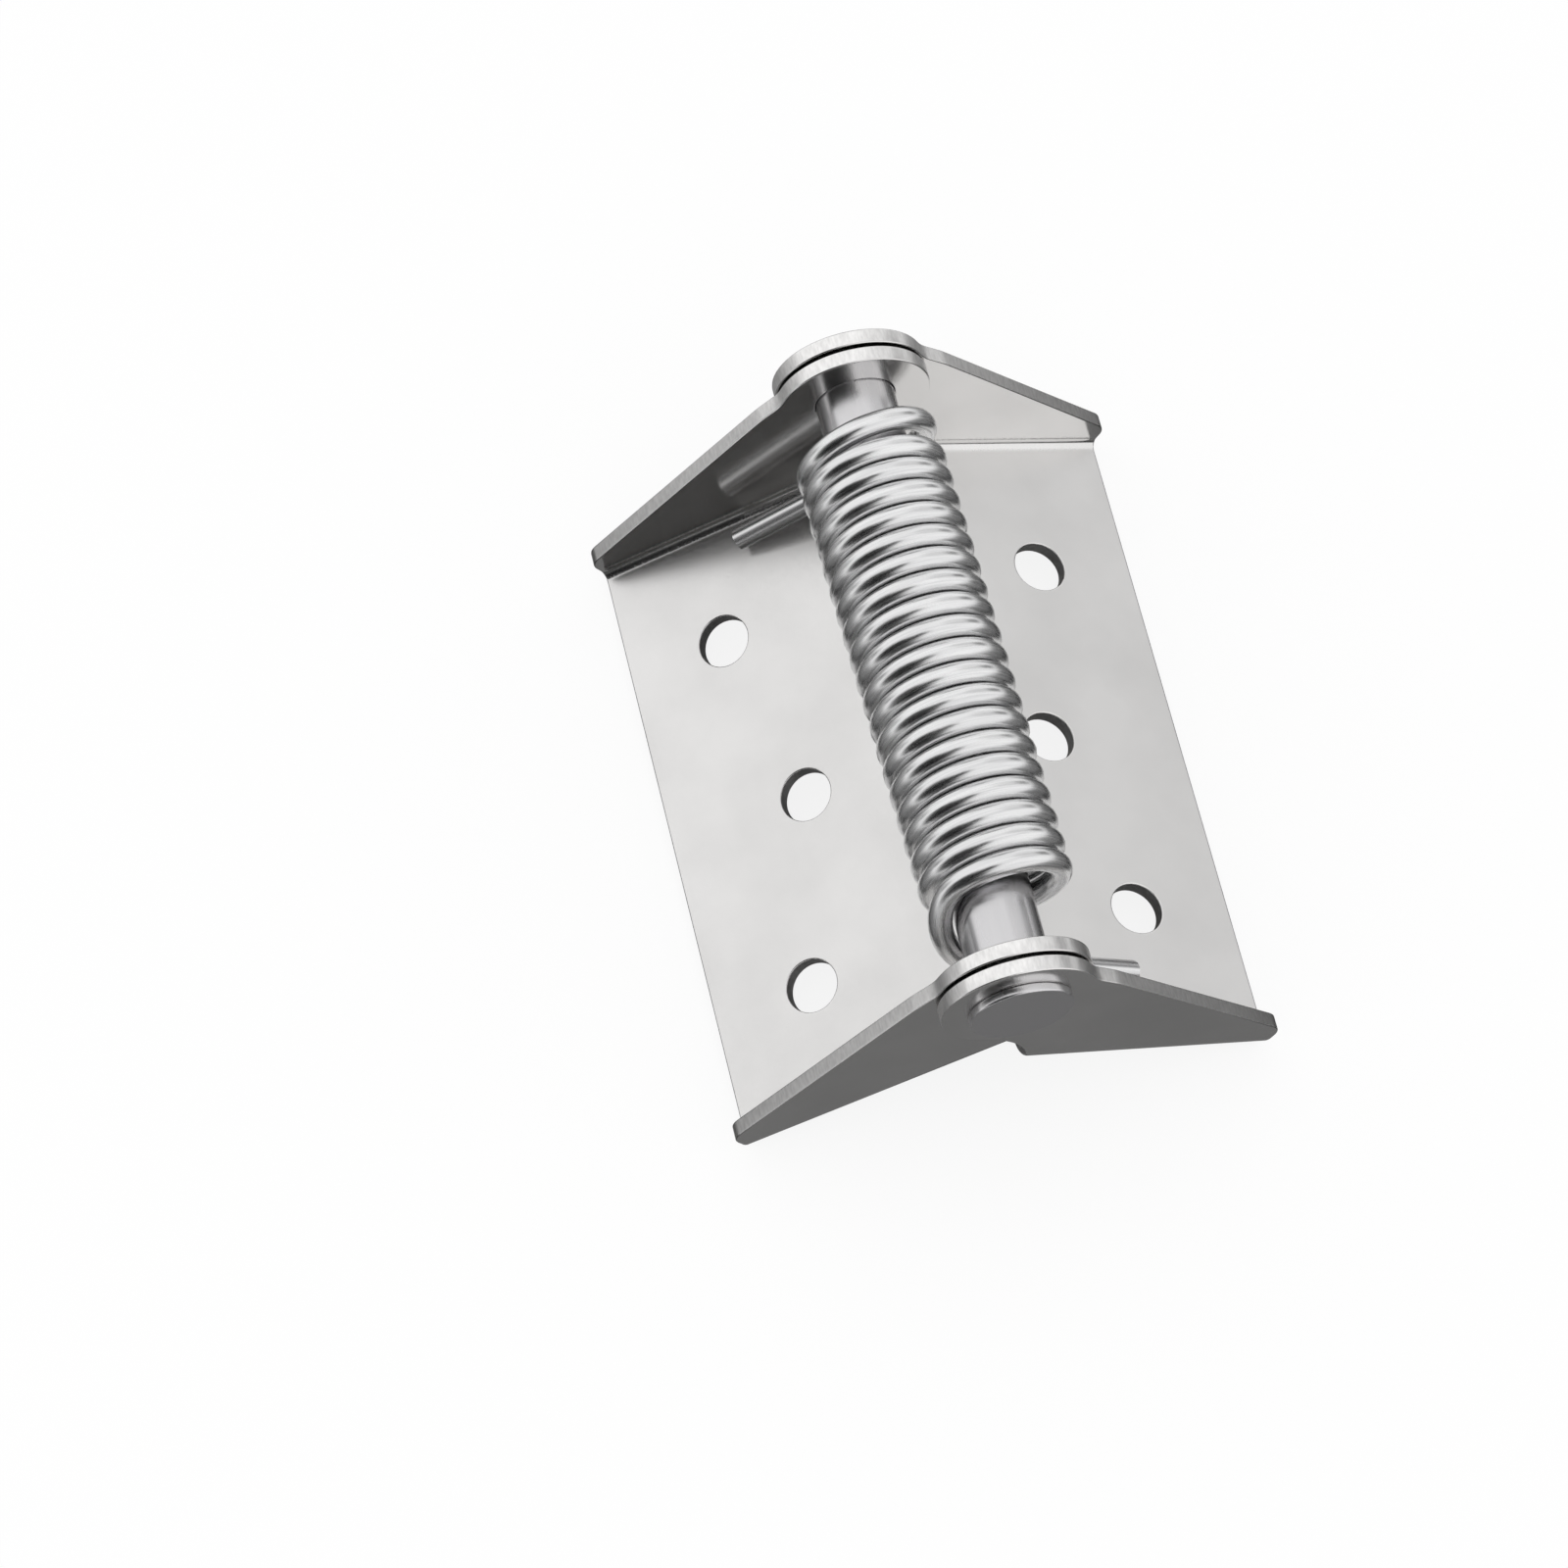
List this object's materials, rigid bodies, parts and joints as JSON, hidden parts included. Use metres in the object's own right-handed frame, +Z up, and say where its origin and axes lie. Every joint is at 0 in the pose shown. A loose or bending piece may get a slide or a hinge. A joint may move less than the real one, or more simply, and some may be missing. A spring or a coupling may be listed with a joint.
{
  "type": "spring loaded door hinge",
  "caption": "Self-closing door hinge: two folded steel leaves on a headed pin, swung by a torsion spring wound round the pin.",
  "frame": {"origin": "on the floor, under the middle of the hinge's box, as it rests on the outer edges of both leaves", "axes": "+Y along the pin from its head to its riveted end, +Z up, towards the spring, +X towards the outer leaf"},
  "size_m": [0.0678, 0.0904, 0.0424],
  "materials": {
    "leaf_steel": "tumbled bright sheet with sheared edges",
    "pin_steel": "turned and polished",
    "spring_steel": "bright drawn wire"
  },
  "bodies": {
    "outer": {"outer_leaf": "leaf_steel", "hinge_pin": "pin_steel", "torsion_spring": "spring_steel"},
    "inner": {"inner_leaf": "leaf_steel"}
  },
  "joints": [
    {"name": "leaf_swing", "type": "hinge", "parent": "outer", "child": "inner", "pos_m": [0.00171, 0, 0.03284], "axis": [0, 1, 0], "range_deg": [0, 137.4], "stiffness_Nm_per_rad": 0.78, "springref_deg": -37.24, "deforming": ["torsion_spring"]}
  ]
}
